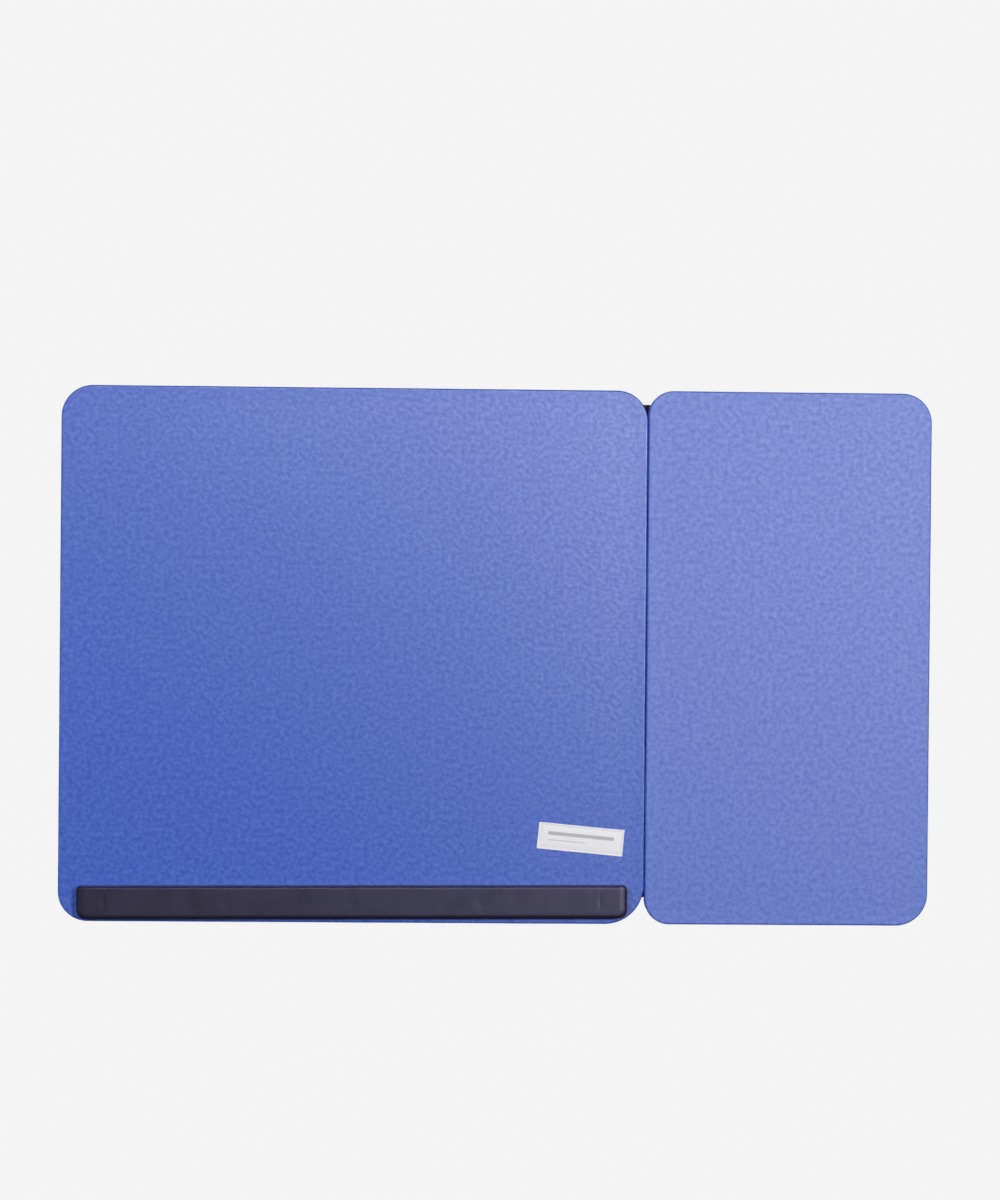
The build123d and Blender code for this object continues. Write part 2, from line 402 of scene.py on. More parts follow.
MELANGE_DARK = (0.002, 0.070, 0.575)
MELANGE_LIGHT = (0.082, 0.186, 0.725)
YARN_PITCH = 0.62 * MM


def melange_fabric(name, roughness, shade, contrast, **gloss):
    """Blue melange cloth: a fine uneven weave of lighter and darker yarns, with a satin gloss.

    shade is the brightness of the gaps between its yarns, where painted shade darkens the colour, and
    contrast sets how much its flecks differ.
    """
    f = Finish(name, Specular_IOR_Level=1.0, Sheen_Roughness=0.5, **gloss)
    cloth = f.cloth()
    drift = f.add("ShaderNodeTexNoise", {"Vector": cloth, "Scale": 1 / (9 * MM), "Detail": 2.0})
    drift = f.vector("SUBTRACT", drift.outputs["Color"], (0.5, 0.5, 0.5))
    drift = f.vector("MULTIPLY", drift, (0.9 * MM, 0.9 * MM, 0.0))
    loose = f.vector("ADD", cloth, drift)
    height, cells = plain_weave(f, loose, YARN_PITCH)
    stitch = f.random(cells)
    reach = 0.2 / contrast
    flecks = f.span(f.noise(cloth, 3.0 * MM, detail=1.5, roughness=0.5), 0.5 - reach, 0.5 + reach)
    slub_u = f.noise(f.vector("MULTIPLY", loose, (1.0, 0.12, 1.0)), 0.7 * MM, detail=1.0)
    slub_v = f.noise(f.vector("MULTIPLY", loose, (0.12, 1.0, 1.0)), 0.7 * MM, detail=1.0)
    slubs = f.math("MULTIPLY", f.math("ADD", slub_u, slub_v), 0.5)
    blotch = f.span(f.noise(cloth, 30 * MM, detail=3.0), 0.3, 0.7)
    share = f.math("MULTIPLY", flecks, 0.72)
    share = f.math("MULTIPLY_ADD", stitch, 0.12, share)
    share = f.math("MULTIPLY_ADD", slubs, 0.12, share)
    share = f.math("MULTIPLY_ADD", blotch, 0.04, share)
    colour = f.mix(share, MELANGE_DARK, MELANGE_LIGHT)
    # Painted shade: the colour is darkened in the gaps between the yarns, down to shade.
    colour = f.mix(f.math("MULTIPLY_ADD", height, 0.12, shade), (0.0, 0.0, 0.0), colour)
    f.link(colour, "Base Color")
    f.link(f.span(flecks, 0.0, 1.0, roughness + 0.03, roughness - 0.03), "Roughness")
    fuzz = f.noise(cloth, 0.35 * MM, detail=2.0)
    normal = f.bump(fuzz, 0.04 * MM, 0.5)
    normal = f.bump(height, 0.04 * MM, 0.6, below=normal)
    f.link(f.bump(flecks, 0.10 * MM, 0.4, below=normal), "Normal")
    return f.material


def lining_cloth():
    """Black non-woven lining: felted fibres with a grid of small bonded points."""
    f = Finish("lining_cloth", Roughness=0.85, Specular_IOR_Level=0.25, Sheen_Weight=0.25,
               Sheen_Roughness=0.5)
    cloth = f.cloth()
    pitch = 1.9 * MM
    turned = f.add("ShaderNodeVectorRotate", {"Vector": cloth, "Angle": math.pi / 4},
                   rotation_type="Z_AXIS").outputs[0]
    cells = f.vector("MULTIPLY", turned, (1 / pitch, 1 / pitch, 0.0))
    local = f.add("ShaderNodeVectorMath", {0: cells}, operation="FRACTION").outputs[0]
    centred = f.vector("SUBTRACT", local, (0.5, 0.5, 0.0))
    away = f.add("ShaderNodeVectorMath", {0: centred}, operation="LENGTH").outputs["Value"]
    dots = f.span(away, 0.16, 0.3)
    fibres = f.noise(f.vector("MULTIPLY", cloth, (1.0, 0.35, 1.0)), 0.5 * MM, detail=3.0, distortion=1.2)
    clouds = f.noise(cloth, 14 * MM, detail=3.0)
    share = f.math("MULTIPLY_ADD", fibres, 0.6, f.math("MULTIPLY", clouds, 0.4))
    colour = f.mix(share, (0.010, 0.010, 0.012), (0.036, 0.036, 0.041))
    f.link(f.mix(dots, (0.008, 0.008, 0.009), colour), "Base Color")
    normal = f.bump(fibres, 0.08 * MM, 0.5)
    f.link(f.bump(dots, 0.12 * MM, 0.8, below=normal), "Normal")
    return f.material


def web_tape():
    """Black woven tape: a tight twill whose ribs run along the hinge."""
    f = Finish("web_tape", Roughness=0.6, Specular_IOR_Level=0.4, Sheen_Weight=0.3, Sheen_Roughness=0.4)
    cloth = f.cloth()
    height, cells = plain_weave(f, f.vector("MULTIPLY", cloth, (1.0, 0.55, 1.0)), 0.9 * MM)
    worn = f.noise(cloth, 6 * MM, detail=3.0)
    share = f.math("MULTIPLY_ADD", f.random(cells), 0.35, f.math("MULTIPLY", worn, 0.65))
    colour = f.mix(share, (0.006, 0.007, 0.010), (0.024, 0.025, 0.032))
    # Painted shade: the tape's colour drops to half in the gaps between its threads.
    f.link(f.mix(f.math("MULTIPLY_ADD", height, 0.5, 0.5), (0.0, 0.0, 0.0), colour), "Base Color")
    f.link(f.bump(height, 0.25 * MM, 0.8), "Normal")
    return f.material


# A painted reflection colour: the plastic's gloss is tinted bluish violet, standing in for bluish
# surroundings seen in it.
PLASTIC_REFLECTION_TINT = (0.63, 0.60, 1.0, 1.0)


def moulded_plastic():
    """Black moulded plastic: a fine spark-eroded grain, slightly wavy, polished where wrists rub."""
    # Specular_Tint gives the gloss its painted bluish reflection colour.
    f = Finish("moulded_plastic", IOR=1.7, Specular_IOR_Level=1.0, Specular_Tint=PLASTIC_REFLECTION_TINT)
    place = f.place()
    grain = f.noise(place, 0.35 * MM, detail=3.0, roughness=0.6)
    waves = f.noise(f.vector("MULTIPLY", place, (1.0, 0.4, 0.4)), 9 * MM, detail=2.0)
    rubbed = f.span(f.noise(place, 22 * MM, detail=4.0, roughness=0.6), 0.4, 0.65)
    colour = f.mix(grain, (0.008, 0.007, 0.015), (0.014, 0.013, 0.026))
    f.link(f.mix(f.math("MULTIPLY", rubbed, 0.35), colour, (0.018, 0.017, 0.032)), "Base Color")
    f.link(f.math("ADD", f.span(rubbed, 0.0, 1.0, 0.48, 0.41), f.span(grain, 0.3, 0.7, -0.03, 0.03)),
           "Roughness")
    normal = f.bump(waves, 0.5 * MM, 0.25)
    f.link(f.bump(grain, 0.03 * MM, 0.5, below=normal), "Normal")
    return f.material


def label_print(f, cloth):
    """Ink cover of the label's plain rules: a thick grey one above a thin pale one, 0 to 1 each."""
    x, y = f.split(cloth)[0], f.split(cloth)[1]

    def rule(low, high):
        edge = 0.12 * MM
        inside = f.math("MULTIPLY", f.span(x, low[0] - edge, low[0] + edge),
                        f.span(x, high[0] + edge, high[0] - edge))
        inside = f.math("MULTIPLY", inside, f.span(y, low[1] - edge, low[1] + edge))
        return f.math("MULTIPLY", inside, f.span(y, high[1] + edge, high[1] - edge))

    thick = rule((-21 * MM, 1.0 * MM), (21 * MM, 3.2 * MM))
    thin = rule((-21 * MM, -2.6 * MM), (3 * MM, -1.8 * MM))
    return thick, thin


def label_satin():
    """White satin ribbon with plain printed rules."""
    f = Finish("label_satin", Roughness=0.45, Specular_IOR_Level=1.0, Sheen_Weight=0.3,
               Sheen_Roughness=0.4)
    cloth = f.cloth()
    ribs = f.noise(f.vector("MULTIPLY", cloth, (0.08, 1.0, 1.0)), 0.3 * MM, detail=1.0)
    cloud = f.noise(cloth, 5 * MM, detail=3.0)
    share = f.math("MULTIPLY_ADD", ribs, 0.5, f.math("MULTIPLY", cloud, 0.5))
    colour = f.mix(share, (0.86, 0.85, 0.90), (0.97, 0.96, 0.99))
    thick, thin = label_print(f, cloth)
    worn = f.span(f.noise(cloth, 0.9 * MM, detail=2.0), 0.25, 0.6, 0.45, 0.85)
    colour = f.mix(f.math("MULTIPLY", thick, worn), colour, (0.36, 0.36, 0.41))
    colour = f.mix(f.math("MULTIPLY", thin, worn), colour, (0.58, 0.62, 0.74))
    f.link(colour, "Base Color")
    f.link(f.bump(ribs, 0.05 * MM, 0.5), "Normal")
    return f.material


def sewing_thread():
    """White two-ply thread."""
    f = Finish("sewing_thread", Roughness=0.55, Specular_IOR_Level=0.4, Sheen_Weight=0.3)
    place = f.place()
    twist = f.noise(place, 0.25 * MM, detail=1.0)
    f.link(f.mix(twist, (0.62, 0.62, 0.65), (0.86, 0.86, 0.88)), "Base Color")
    f.link(f.bump(twist, 0.06 * MM, 0.7), "Normal")
    return f.material


def zinc_steel(name, colour):
    """Zinc-plated steel with fine drawing lines and dull spots."""
    f = Finish(name, Metallic=1.0, Roughness=0.35)
    place = f.place()
    drawn = f.noise(f.vector("MULTIPLY", place, (1.0, 1.0, 0.15)), 0.3 * MM, detail=2.0)
    spots = f.noise(place, 1.2 * MM, detail=3.0)
    dull = tuple(0.72 * c for c in colour)
    f.link(f.mix(spots, dull, colour), "Base Color")
    f.link(f.span(spots, 0.3, 0.7, 0.28, 0.5), "Roughness")
    f.link(f.bump(drawn, 0.01 * MM, 0.6), "Normal")
    return f.material


def fibreboard():
    """Raw medium-density fibreboard."""
    f = Finish("fibreboard", Roughness=0.9, Specular_IOR_Level=0.2)
    place = f.place()
    fibres = f.noise(place, 1.1 * MM, detail=5.0, roughness=0.65, distortion=0.6)
    f.link(f.mix(fibres, (0.20, 0.125, 0.066), (0.40, 0.27, 0.155)), "Base Color")
    f.link(f.bump(fibres, 0.06 * MM, 0.6), "Normal")
    return f.material


def pad_foam():
    """Pale closed-cell foam sheet."""
    f = Finish("pad_foam", Roughness=0.8, Specular_IOR_Level=0.3)
    place = f.place()
    cells = f.add("ShaderNodeTexVoronoi", {"Vector": place, "Scale": 1 / (0.5 * MM)}).outputs["Distance"]
    f.link(f.mix(cells, (0.62, 0.60, 0.55), (0.78, 0.77, 0.73)), "Base Color")
    f.link(f.bump(cells, 0.05 * MM, 0.5), "Normal")
    return f.material


MAIN_FABRIC = melange_fabric("melange_fabric_main", roughness=0.38, shade=0.84, contrast=1.0,
                             IOR=1.6, Sheen_Weight=0.08)
WING_FABRIC = melange_fabric("melange_fabric_wing", roughness=0.56, shade=0.89, contrast=0.82,
                             IOR=1.75, Sheen_Weight=0.16)
LINING = lining_cloth()
TAPE = web_tape()
PLASTIC = moulded_plastic()
SATIN = label_satin()
THREAD = sewing_thread()
FOAM = pad_foam()

# ---------------------------------------------------------------- boards

GRID_SPACING = 5 * MM
CORNER_STEPS = 9
SHOULDER_DEPTH = 1.2 * MM
SHOULDER_DROP = 1.4 * MM
SHOULDER_POWER = 2.1
TURN_RADIUS = 0.9 * MM
CLOTH_SHELL = CLOTH - 0.05 * MM


def face_relief(x, y):
    """How far the stretched face dips below its flat height."""
    slow = wander(x, y, 90 * MM, 1.3)
    quick = wander(x, y, 28 * MM, 4.1)
    return -(0.09 + 0.06 * slow + 0.03 * quick) * MM


class Board:
    """One covered board: its plan, its body, and which side its hinge is on."""

    def __init__(self, prefix, low, high, radii, hinge_x, fabric):
        self.prefix = prefix
        self.fabric = fabric
        self.body = prefix + "_panel"
        self.low, self.high = low, high
        self.hinge_x = hinge_x
        self.plan = Plan(low, high, radii, GRID_SPACING, CORNER_STEPS)

    def web_cover(self, x, y):
        """1 where the hinge web lies over the hem, 0 elsewhere."""
        near_hinge = 1 - smooth(abs(x - self.hinge_x), HEM_WIDTH - 0.5 * MM, HEM_WIDTH + 1.0 * MM)
        margin = 1.2 * MM
        along = smooth(y, WEB_LOW.y - margin, WEB_LOW.y - 0.2 * MM)
        along *= 1 - smooth(y, WEB_HIGH.y + 0.2 * MM, WEB_HIGH.y + margin)
        return near_hinge * along

    def corner_share(self, index):
        """How far round its corner a ring's point is, from 0 to 1, or None on a straight side."""
        start = 0
        for side in range(4):
            length = 2 * self.plan.half + self.plan.side_steps(side)
            if index < start + length:
                step = index - start
                if step <= self.plan.half:
                    return 0.5 + 0.5 * step / self.plan.half
                if step >= length - self.plan.half:
                    return 0.5 * (step - length + self.plan.half) / self.plan.half
                return None
            start += length
        return None

    def pleats(self, index):
        """Gathers in the turned cloth round a corner, from 0 to 1."""
        share = self.corner_share(index)
        if share is None:
            return 0.0
        return math.sin(math.pi * share) * (0.5 - 0.5 * math.cos(2 * math.pi * 5 * share))

    def cover_profile(self):
        """Rings from the hem's cut edge to the flat face, as (inset, flat inset, height)."""
        pairs = [(inset, FACE_Z - fall) for inset, fall in
                 rounded_shoulder(SHOULDER_DEPTH, SHOULDER_DROP, SHOULDER_POWER, 9)]
        side_top = FACE_Z - SHOULDER_DROP
        side_foot = HEM_Z + TURN_RADIUS
        for step in range(1, 4):
            pairs.append((0.0, side_top + (side_foot - side_top) * step / 3))
        for step in range(1, 5):
            angle = math.pi / 2 * step / 4
            inset = TURN_RADIUS * (1 - math.cos(angle))
            pairs.append((inset, side_foot - TURN_RADIUS * math.sin(angle)))
        for inset in (1.6, 2.4, 3.2, 4.0, 5.0, 7.0, 10.0, 14.0, 17.0, 19.0, 20.0):
            pairs.append((inset * MM, HEM_Z))
        lead = [((SHOULDER_DEPTH + step * MM), FACE_Z) for step in (6.0, 3.0, 1.2, 0.4)]
        return list(reversed(unrolled(lead + pairs)))

    def cover_place(self, x, y, height, inset, index):
        """A point of the cover's outer side, with its gathers and its dips."""
        middle = ((self.low.x + self.high.x) / 2, (self.low.y + self.high.y) / 2)
        if height > FACE_Z - 0.01 * MM:
            return x, y, height + face_relief(x, y) * smooth(inset, SHOULDER_DEPTH - 1.5 * MM, 9 * MM)
        gather = self.pleats(index)
        under = height < HEM_Z + 0.01 * MM
        if under:
            seam = smooth(inset, 0.6 * MM, 2.2 * MM) * (1 - smooth(inset, 3.2 * MM, 4.2 * MM))
            height -= 0.42 * MM * gather * seam
        side = smooth(FACE_Z - height, 1.0 * MM, 5.0 * MM) * (0 if under else 1)
        shift = 0.16 * MM * gather * side + 0.10 * MM * wander(x, y, 35 * MM, 9.0)
        away = Vector((middle[0] - x, middle[1] - y))
        away.normalize()
        lift = WEB_TOP_Z - HEM_Z
        height += lift * self.web_cover(x, y) * (1 - smooth(height - HEM_Z, 0.0, 2.2 * MM))
        return x + shift * away.x, y + shift * away.y, height

    def make_cover(self):
        """The fabric cover: face, rounded shoulders, sides and the hem turned under."""
        points, faces, cloth = ring_surface(
            self.plan, self.cover_profile(), 36 * MM, 6, self.cover_place)
        name = self.prefix + "_cover_cloth"
        mesh = thicken(build_mesh(name, points, faces, cloth), name, CLOTH_SHELL)
        cover = new_object(name, mesh, self.fabric, self.body)
        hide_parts(self.prefix + "_fabric_cover")
        turned = -self.cover_profile()[0][1]
        return cover

    def make_foam(self):
        """The thin pad that gives the face its soft edge."""
        top = FOAM_HIGH.z - 0.25 * MM
        edge = CLOTH + 0.05 * MM
        pairs = [(edge + inset, top - fall) for inset, fall in
                 rounded_shoulder(SHOULDER_DEPTH - edge, SHOULDER_DROP - edge, SHOULDER_POWER, 6)]
        pairs.append((edge, FOAM_LOW.z))
        upper = [(inset, inset, height) for inset, height in reversed(pairs)]

        def place(x, y, height, inset, index):
            if height < top - 0.01 * MM:
                return x, y, height
            return x, y, height + face_relief(x, y) * smooth(inset, 2.5 * MM, 9 * MM)

        points, faces, _ = ring_surface(self.plan, upper, 36 * MM, 6, place)
        base, base_faces, _ = ring_surface(
            self.plan, [(edge, edge, FOAM_LOW.z)], 36 * MM, 6, lambda x, y, z, inset, index: (x, y, z))
        start = len(points)
        faces += [tuple(start + i for i in reversed(face)) for face in base_faces]
        mesh = build_mesh(self.prefix + "_foam_sheet", points + base, faces)
        weld(mesh)
        pad = new_object(self.prefix + "_foam_sheet", mesh, FOAM, self.body)
        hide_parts(self.prefix + "_foam_pad")
        return pad

    def make_lining(self):
        """The back lining, stuck over the hem and stepped up against the core inside it."""
        edge = LINING_LOW.x - MAIN_LOW.x
        shell = HEM_Z - 0.04 * MM
        rings = [edge, edge + 0.8 * MM, 7 * MM, 10 * MM, 14 * MM, 18 * MM]
        rings += [HEM_WIDTH + step * MM for step in (0.2, 0.9, 1.6, 2.3, 3.0, 3.7, 6.0)]
        profile = [(inset, inset, 0.0) for inset in rings]

        def place(x, y, height, inset, index):
            step = HEM_Z * smooth(inset, HEM_WIDTH + 0.2 * MM, HEM_WIDTH + 3.2 * MM)
            ripple = 0.05 * MM * (1 + wander(x, y, 40 * MM, 3.0)) * smooth(inset, 24 * MM, 40 * MM)
            wobble = 0.25 * MM * wander(x, y, 16 * MM, 6.0) * (1 - smooth(inset, edge, edge + 1 * MM))
            away = Vector((self.low.x + self.high.x - 2 * x, self.low.y + self.high.y - 2 * y))
            away.normalize()
            return x + wobble * away.x, y + wobble * away.y, step - ripple

        points, faces, cloth = ring_surface(self.plan, profile, 42 * MM, 5, place)
        faces = [tuple(reversed(face)) for face in faces]
        name = self.prefix + "_lining_cloth"
        mesh = thicken(build_mesh(name, points, faces, cloth), name, shell)
        lining = new_object(name, mesh, LINING, self.body)
        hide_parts(self.prefix + "_back_lining")
        return lining


def weld(mesh, distance=0.001 * MM):
    """Join a mesh's coincident points, and turn its faces outwards."""
    work = bmesh.new()
    work.from_mesh(mesh)
    bmesh.ops.remove_doubles(work, verts=work.verts, dist=distance)
    bmesh.ops.recalc_face_normals(work, faces=work.faces)
    work.to_mesh(mesh)
    work.free()


MAIN = Board("main", MAIN_LOW, MAIN_HIGH, MAIN_RADII, MAIN_HIGH.x, MAIN_FABRIC)
WING = Board("wing", WING_LOW, WING_HIGH, WING_RADII, WING_LOW.x, WING_FABRIC)
for board in (MAIN, WING):
    board.make_cover()
    board.make_foam()
    board.make_lining()

# ---------------------------------------------------------------- hinge web


BEND_REACH = 0.4 * MM


def make_web():
    """One strip of woven tape over both boards' backs, with a little slack in the gap between them."""
    bend_low, bend_high = MAIN_HIGH.x - BEND_REACH, WING_LOW.x + BEND_REACH
    flap = [WEB_LOW.x + (bend_low - WEB_LOW.x) * step / 12 for step in range(12)]
    bend = [bend_low + (bend_high - bend_low) * step / 16 for step in range(17)]
    other = [bend_high + (WEB_HIGH.x - bend_high) * step / 12 for step in range(1, 13)]
    xs = flap + bend + other
    rows = 210
    points, faces, cloth = [], [], []
    for row in range(rows + 1):
        y = WEB_LOW.y + (WEB_HIGH.y - WEB_LOW.y) * row / rows
        for x in xs:
            slack = math.sin(math.pi * min(1.0, max(0.0, (x - bend_low) / (bend_high - bend_low))))
            fray = 0.0
            if row in (0, rows):
                fray = 0.18 * MM * wander(x, y, 1.7 * MM, 2.0)
            points.append((x, y + fray, WEB_LOW.z + 0.08 * MM * slack))
            cloth.append((x, y, 0.0))
    width = len(xs)
    for row in range(rows):
        for column in range(width - 1):
            a = row * width + column
            faces.append((a, a + width, a + width + 1, a + 1))
    thickness = WEB_TOP_Z - WEB_LOW.z - 0.04 * MM
    mesh = thicken(build_mesh("hinge_tape", points, faces, cloth), "hinge_tape", thickness)
    tape = new_object("hinge_tape", mesh, TAPE)
    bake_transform(tape)
    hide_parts("hinge_web_main_flap", "hinge_web_wing_flap")
    return tape


make_web()

# ---------------------------------------------------------------- ledge bar

LEDGE_CENTRE = (LEDGE_LOW + LEDGE_HIGH) / 2
LEDGE_PLACE = Matrix.Translation((LEDGE_CENTRE.x, LEDGE_CENTRE.y, 0)) @ Matrix.Rotation(LEDGE_SKEW, 4, "Z")
LEDGE_SPACING = 2.0 * MM
LEDGE_SHOULDER = (3.0 * MM, 2.6 * MM, 2.05)
FAR_SHOULDER_SHARE = 0.4
END_SHOULDER_SHARE = 2.0
SCREW_END = 13 * MM
SCREW_COUNT = 5


def screw_stations():
    """Where the screws stand along the bar, from its middle."""
    span = LEDGE_SIZE[0] - 2 * SCREW_END
    return [-span / 2 + span * index / (SCREW_COUNT - 1) for index in range(SCREW_COUNT)]


def ledge_top(x, y):
    """Shallow sinks in the moulding's top over its bosses and ribs."""
    stations = screw_stations()
    half = (stations[1] - stations[0]) / 2
    sink = 0.0
    for station in stations:
        sink += 0.10 * MM * math.exp(-((x - station) ** 2 + y ** 2) / (3.2 * MM) ** 2)
    for station in [s + half for s in stations[:-1]] + stations:
        sink += 0.03 * MM * math.exp(-((x - station) ** 2) / (1.6 * MM) ** 2)
    crown = 12.0 * max(0.0, y - 6.5 * MM) ** 2
    return -sink - crown - 0.05 * MM * (1 + wander(x, y, 45 * MM, 5.0))


def shoulder_spread(x, y, inset):
    """The place of an outline point, with a tighter shoulder on the far side and longer ones at the ends."""
    half_x, half_y = LEDGE_SIZE[0] / 2, LEDGE_SIZE[1] / 2
    far = smooth(y, 0.0, 0.8 * half_y)
    end = smooth(abs(x), half_x - 22 * MM, half_x - 9 * MM)
    y += inset * (1 - FAR_SHOULDER_SHARE) * far
    x -= math.copysign(inset * (END_SHOULDER_SHARE - 1) * end, x)
    return x, y


def ledge_shell():
    """The moulding's skin: outside, rim and inside, as one closed mesh."""
    low = (-LEDGE_SIZE[0] / 2, -LEDGE_SIZE[1] / 2)
    high = (LEDGE_SIZE[0] / 2, LEDGE_SIZE[1] / 2)
    plan = Plan(low, high, LEDGE_RADII, LEDGE_SPACING, 8)
    foot, top = LEDGE_LOW.z, LEDGE_HIGH.z
    depth, drop, power = LEDGE_SHOULDER
    draft = 0.15 * MM
    shoulder = [(draft + inset, top - fall) for inset, fall in rounded_shoulder(depth, drop, power, 12)]
    outside = shoulder + [(draft / 2, (top - drop + foot) / 2), (0.12 * MM, foot + 0.1 * MM)]
    outside += [(0.25 * MM, foot)]
    profile = [(inset, inset, height) for inset, height in reversed(outside)]

    def outer(x, y, height, inset, index):
        dip = ledge_top(x, y) * smooth(inset, depth - 2 * MM, depth + 0.5 * MM)
        return (*shoulder_spread(x, y, inset), height + (dip if height > top - 1 * MM else 0.0))

    points, faces, _ = ring_surface(plan, profile, 6.3 * MM, 1, outer)
    ceiling = top - LEDGE_WALL
    hollow = [(LEDGE_WALL, foot), (LEDGE_WALL, (foot + ceiling) / 2), (LEDGE_WALL, ceiling - 0.6 * MM),
              (LEDGE_WALL + 0.2 * MM, ceiling - 0.2 * MM), (LEDGE_WALL + 0.6 * MM, ceiling)]
    hollow = [(inset, inset, height) for inset, height in hollow]
    inner, inner_faces, _ = ring_surface(plan, hollow, 6.3 * MM, 1, lambda x, y, z, inset, index: (x, y, z))
    start = len(points)
    faces += [tuple(start + i for i in reversed(face)) for face in inner_faces]
    for index in range(plan.count):
        after = (index + 1) % plan.count
        faces.append((after, index, start + index, start + after))
    mesh = build_mesh("ledge_shell", points + inner, faces)
    weld(mesh)
    return mesh


def ledge_fittings():
    """Bosses for the screws and the ribs across the hollow, each a closed form."""
    foot, roof = LEDGE_LOW.z, LEDGE_HIGH.z - LEDGE_WALL / 2
    work = bmesh.new()
    stations = screw_stations()
    half = (stations[1] - stations[0]) / 2
    for x in stations:
        place = Matrix.Translation((x, 0, (foot + roof) / 2))
        bmesh.ops.create_cone(work, cap_ends=True, segments=40, radius1=3.6 * MM, radius2=3.6 * MM,
                              depth=roof - foot, matrix=place)
    mesh = bpy.data.meshes.new("bosses")
    work.to_mesh(mesh)
    work.free()
    work = bmesh.new()
    for x in stations + [s + half for s in stations[:-1]]:
        size = (1.5 * MM, LEDGE_SIZE[1] - LEDGE_WALL, roof - foot - 0.02 * MM)
        place = Matrix.Translation((x, 0, (foot + roof) / 2)) @ Matrix.Diagonal((*size, 1))
        bmesh.ops.create_cube(work, size=1.0, matrix=place)
    ribs = bpy.data.meshes.new("ribs")
    work.to_mesh(ribs)
    work.free()
    work = bmesh.new()
    pilot_top = SCREW_HIGH.z + 0.5 * MM
    for x in stations:
        place = Matrix.Translation((x, 0, (foot + pilot_top) / 2 - 0.5 * MM))
        bmesh.ops.create_cone(work, cap_ends=True, segments=24, radius1=1.2 * MM, radius2=1.2 * MM,
                              depth=pilot_top - foot + 1 * MM, matrix=place)
    pilots = bpy.data.meshes.new("pilots")
    work.to_mesh(pilots)
    work.free()
    return mesh, ribs, pilots


def combined(mesh, name, steps):
    """The mesh joined to or cut by other meshes; each step is (operation, mesh)."""
    tools = []
    modifiers = []
    for operation, tool_mesh in steps:
        tool = bpy.data.objects.new("tool", tool_mesh)
        bpy.context.scene.collection.objects.link(tool)
        tools.append(tool)
        modifiers.append(("BOOLEAN", {"operation": operation, "object": tool, "solver": "EXACT",
                                      "use_self": False}))
    result = baked(mesh, name, modifiers)
    for tool in tools:
        bpy.data.objects.remove(tool)
    return result


def make_ledge():
    """The ledge bar: a hollow moulding with its bosses, ribs and pilot holes."""
    bosses, ribs, pilots = ledge_fittings()
    steps = [("UNION", ribs), ("UNION", bosses), ("DIFFERENCE", pilots)]
    mesh = combined(ledge_shell(), "ledge_moulding", steps)
    mesh.polygons.foreach_set("use_smooth", [True] * len(mesh.polygons))
    mesh.set_sharp_from_angle(angle=math.radians(35))
    mesh.transform(LEDGE_PLACE)
    bar = new_object("ledge_moulding", mesh, PLASTIC, "main_panel")
    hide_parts("ledge_bar")
    return bar


make_ledge()

# ---------------------------------------------------------------- label and its stitches

LABEL_MIDDLE = (LABEL_LOW + LABEL_HIGH) / 2
LABEL_PLACE = Matrix.Translation((LABEL_MIDDLE.x, LABEL_MIDDLE.y, 0)) @ Matrix.Rotation(LABEL_TILT, 4, "Z")
LABEL_THICKNESS = LABEL_HIGH.z - LABEL_LOW.z


def label_surface(x, y):
    """The label's upper side at a place in its own frame: it follows the face and puffs between seams."""
    world = LABEL_PLACE @ Vector((x, y, 0))
    edge = min(LABEL_SIZE[0] / 2 - abs(x), LABEL_SIZE[1] / 2 - abs(y))
    seam = math.exp(-((edge - STITCH_INSET) / (0.7 * MM)) ** 2)
    puff = 0.10 * MM * smooth(edge, STITCH_INSET, 5 * MM) + 0.04 * MM * wander(x, y, 7 * MM, 8.0)
    return FACE_Z + face_relief(world.x, world.y) + LABEL_THICKNESS + puff - 0.10 * MM * seam


def make_label():
    """The satin label: a thin patch with softly bowed edges, its print in the material."""
    columns, rows = 110, 34
    points, faces, cloth = [], [], []
    for row in range(rows + 1):
        for column in range(columns + 1):
            x = LABEL_SIZE[0] * (column / columns - 0.5)
            y = LABEL_SIZE[1] * (row / rows - 0.5)
            bow_x = 0.12 * MM * wander(0.0, y, 9 * MM, 1.0 + (x > 0)) * abs(2 * x / LABEL_SIZE[0]) ** 3
            bow_y = 0.12 * MM * wander(x, 0.0, 16 * MM, 3.0 + (y > 0)) * abs(2 * y / LABEL_SIZE[1]) ** 3
            points.append((x + bow_x, y + bow_y, label_surface(x, y)))
            cloth.append((x, y, 0.0))
    width = columns + 1
    for row in range(rows):
        for column in range(columns):
            a = row * width + column
            faces.append((a, a + 1, a + 1 + width, a + width))
    mesh = build_mesh("sewn_label", points, faces, cloth)
    thickness = {"thickness": LABEL_THICKNESS, "offset": -1.0, "use_even_offset": True}
    rim = {"width": 0.1 * MM, "segments": 2, "limit_method": "ANGLE", "angle_limit": math.radians(50)}
    mesh = baked(mesh, "sewn_label", [("SOLIDIFY", thickness), ("BEVEL", rim)])
    mesh.transform(LABEL_PLACE)
    label = new_object("sewn_label", mesh, SATIN, "main_panel")
    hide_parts("blank_label")
    return label


def stitch_runs():
    """(middle, direction) of each stitch round the label, in its own frame."""
    half_x = LABEL_SIZE[0] / 2 - STITCH_INSET
    half_y = LABEL_SIZE[1] / 2 - STITCH_INSET
    for half_run, offset, turn in ((half_x, half_y, 0.0), (half_y, half_x, math.pi / 2)):
        count = int(2 * half_run / STITCH_PITCH)
        turned = Matrix.Rotation(turn, 2)
        for side in (-1, 1):
            for index in range(count):
                along = (index - (count - 1) / 2) * 2 * half_run / count
                yield turned @ Vector((along, side * offset)), turned @ Vector((1.0, 0.0))


